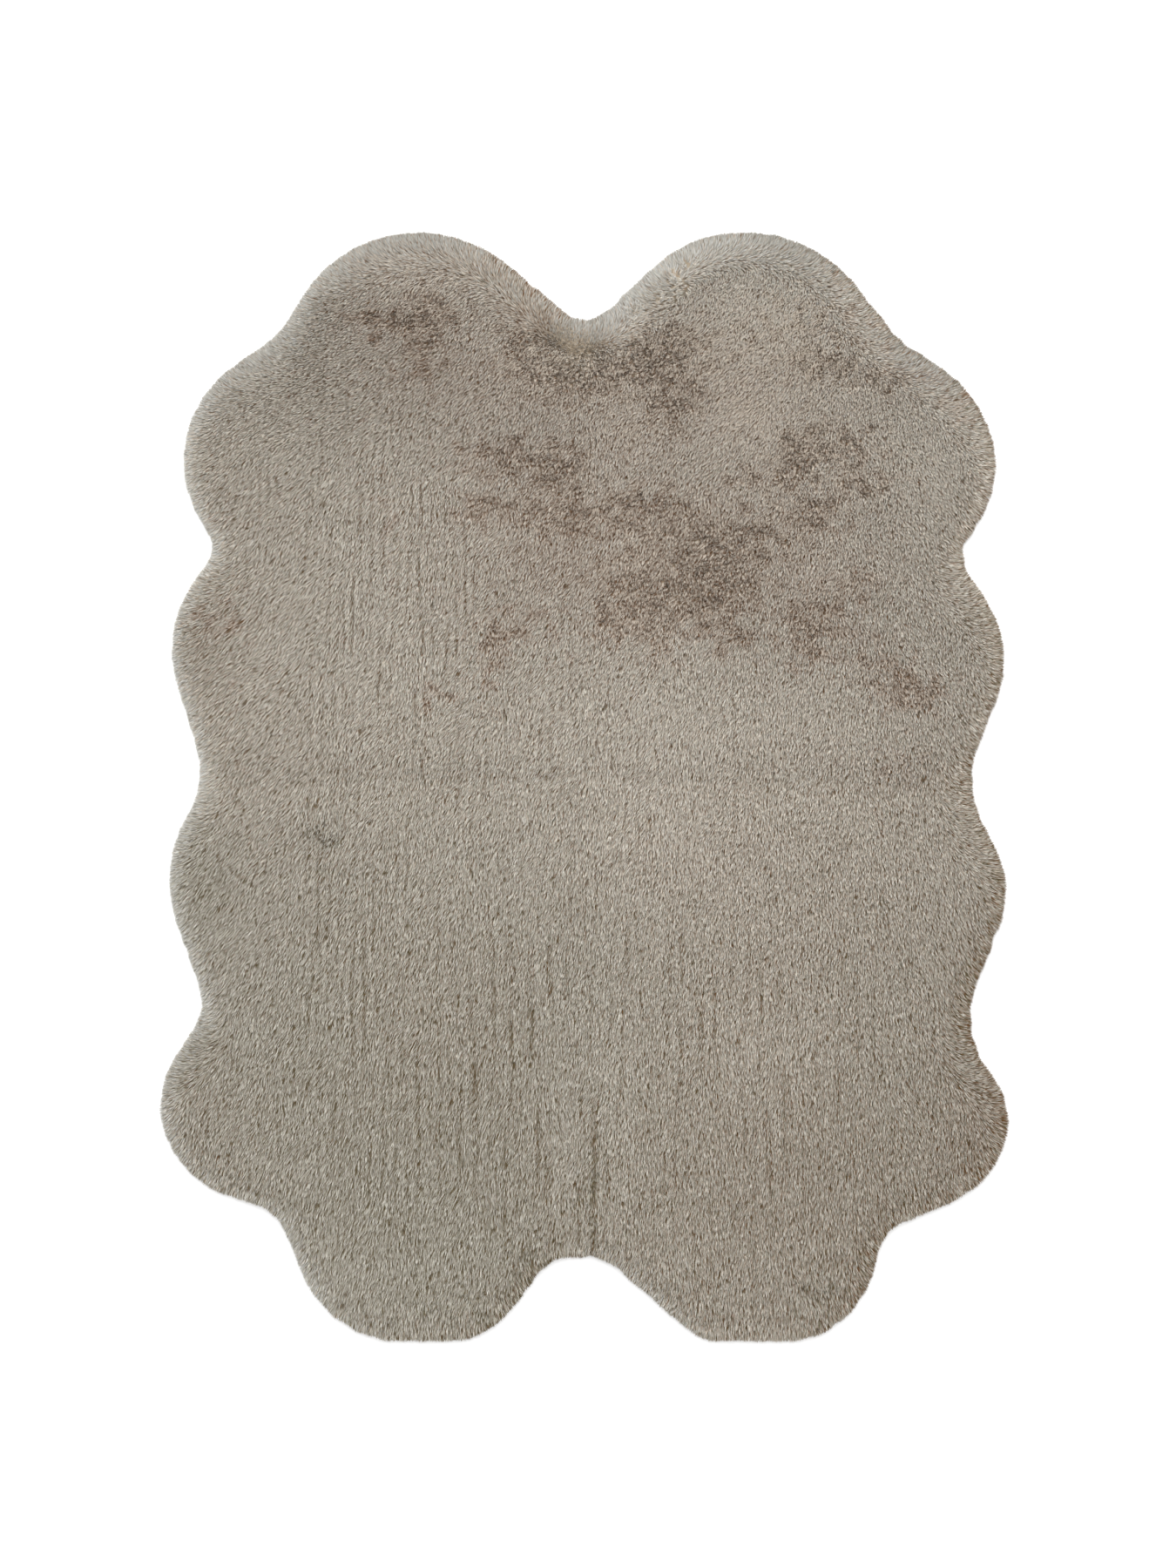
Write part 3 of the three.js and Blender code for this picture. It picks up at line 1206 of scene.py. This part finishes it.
    @staticmethod
    def _parting(root: Array) -> Array:
        """How far strands fall away from the partings.

        Args:
            root: The strands' roots.

        Returns:
            What the partings add to each strand's lean.
        """
        push = np.zeros_like(root)
        for part in PARTINGS:
            off = part.off(root)
            push[:, part.sweep.value] += part.spread * MM * off * np.exp(0.5 - off**2 / 2) * part.along(root)
        return push

    def build(self) -> list[Object]:
        """Grows the whole pile, and parts it in three rows of two pieces to keep each one small.

        Returns:
            The pieces.
        """
        self.rng = np.random.default_rng(SEED)
        self.relief = Relief(self.rng)
        tufts = self.tufts()
        points, across = self.strands_of(tufts)
        place = np.repeat(tufts.place, self.strands, axis=0)
        row = np.searchsorted(ROW_ENDS, place[:, 1] / MM, side="right")
        for number, name in enumerate(("foot", "waist", "head")):
            for side, beside in (("left", place[:, 0] < 0), ("right", place[:, 0] >= 0)):
                here = (row == number) & beside
                self.pieces.append(self._leaves(f"pile_{name}_{side}", points[here], across[here]))
        return self.pieces

    @staticmethod
    def _leaves(name: str, points: Array, across: Array) -> Object:
        """Makes one piece of strands.

        Args:
            name: The piece's name.
            points: Three points for each strand.
            across: Each strand's v on the strand map.

        Returns:
            The piece.
        """
        faces = np.arange(points.size // 3).reshape(-1, 3)
        piece = mesh_object(name, points.reshape(-1, 3), faces)
        along = np.tile((0.0, 0.0, 1.0), (len(points), 1))
        aside = across[:, None] + np.array((1.0, -1.0, 0.0)) * StrandMap.HALF_WIDTH
        corner = np.stack([along, aside], 2).reshape(-1, 2)
        layer = piece.data.uv_layers.new(name=STRAND_MAP)
        layer.uv.foreach_set("vector", corner[faces.ravel()].astype(np.float32).ravel())
        return piece

    def dress(self) -> None:
        """Gives every piece its finish and its body."""
        fur = self.finish.made()
        for piece in self.pieces:
            piece.data.materials.append(fur)
            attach(piece, BODY)


# ---- Studio


@dataclass(frozen=True)
class Lamp:
    """A square soft light that points at the rug."""

    name: str
    place: tuple[float, float, float]
    size: float
    power: float
    colour: Colour = (1.0, 1.0, 1.0)


@dataclass
class Studio:
    """The floor, the light and the camera."""

    aim: tuple[float, float, float] = (0.002, -0.024, 0.010)
    distance: float = 2.994
    tilt: float = math.radians(7)
    lens: float = 47.88
    floor_size: float = 40.0
    floor_gap: float = 0.3 * MM
    sky: float = 0.79
    lamps: tuple[Lamp, ...] = (
        Lamp("overhead", (0.2, 1.0, 3.0), 2.8, 84.0),
        Lamp("side", (-2.8, 2.0, 2.3), 2.0, 49.0, (0.96, 0.98, 1.0)),
    )

    def build(self) -> None:
        """Sets everything up."""
        self._floor()
        self._light()
        self._camera()

    def _floor(self) -> None:
        """Lays the floor just under the rug."""
        half = self.floor_size / 2
        corners = np.array([[-half, -half], [half, -half], [half, half], [-half, half]])
        points = np.column_stack([corners, np.full(4, -self.floor_gap)])
        floor = mesh_object("floor", points, np.array([[0, 1, 2], [0, 2, 3]]))
        floor.data.materials.append(FloorFinish().made())

    def _light(self) -> None:
        """Hangs the lamps and sets the sky."""
        world = bpy.data.worlds.new("studio")
        world.use_nodes = True
        back = world.node_tree.nodes["Background"]
        back.inputs["Color"].default_value = (1.0, 1.0, 1.0, 1.0)
        back.inputs["Strength"].default_value = self.sky
        bpy.context.scene.world = world
        for lamp in self.lamps:
            data = bpy.data.lights.new(lamp.name, "AREA")
            data.shape = "SQUARE"
            data.size = lamp.size
            data.energy = lamp.power
            data.color = lamp.colour
            made = bpy.data.objects.new(lamp.name, data)
            made.location = lamp.place
            towards = Vector(self.aim) - Vector(lamp.place)
            made.rotation_euler = towards.to_track_quat("-Z", "Y").to_euler()
            bpy.context.scene.collection.objects.link(made)

    def _camera(self) -> None:
        """Sets the camera above the rug, tipped a little to the foot end."""
        data = bpy.data.cameras.new("camera")
        data.lens = self.lens
        camera = bpy.data.objects.new("camera", data)
        back = Vector((0.0, -math.sin(self.tilt), math.cos(self.tilt)))
        camera.location = Vector(self.aim) + back * self.distance
        camera.rotation_euler = (self.tilt, 0.0, 0.0)
        bpy.context.scene.collection.objects.link(camera)
        bpy.context.scene.camera = camera
        bpy.context.scene.view_settings.view_transform = "Standard"


def main() -> None:
    """Builds the studio, the mat and the pile, and reports each piece."""
    logging.basicConfig(level=logging.INFO, format="%(message)s")
    solid = Solid(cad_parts[SOLID])
    Studio().build()
    underfur = Underfur(solid)
    pile = Pile(solid, underfur)
    mat = underfur.build()
    strands = pile.build()
    underfur.dress()
    pile.dress()
    for piece in (mat, *strands):
        log.info("%s: %d triangles", piece.name, len(piece.data.polygons))


if __name__ == "__main__":
    main()
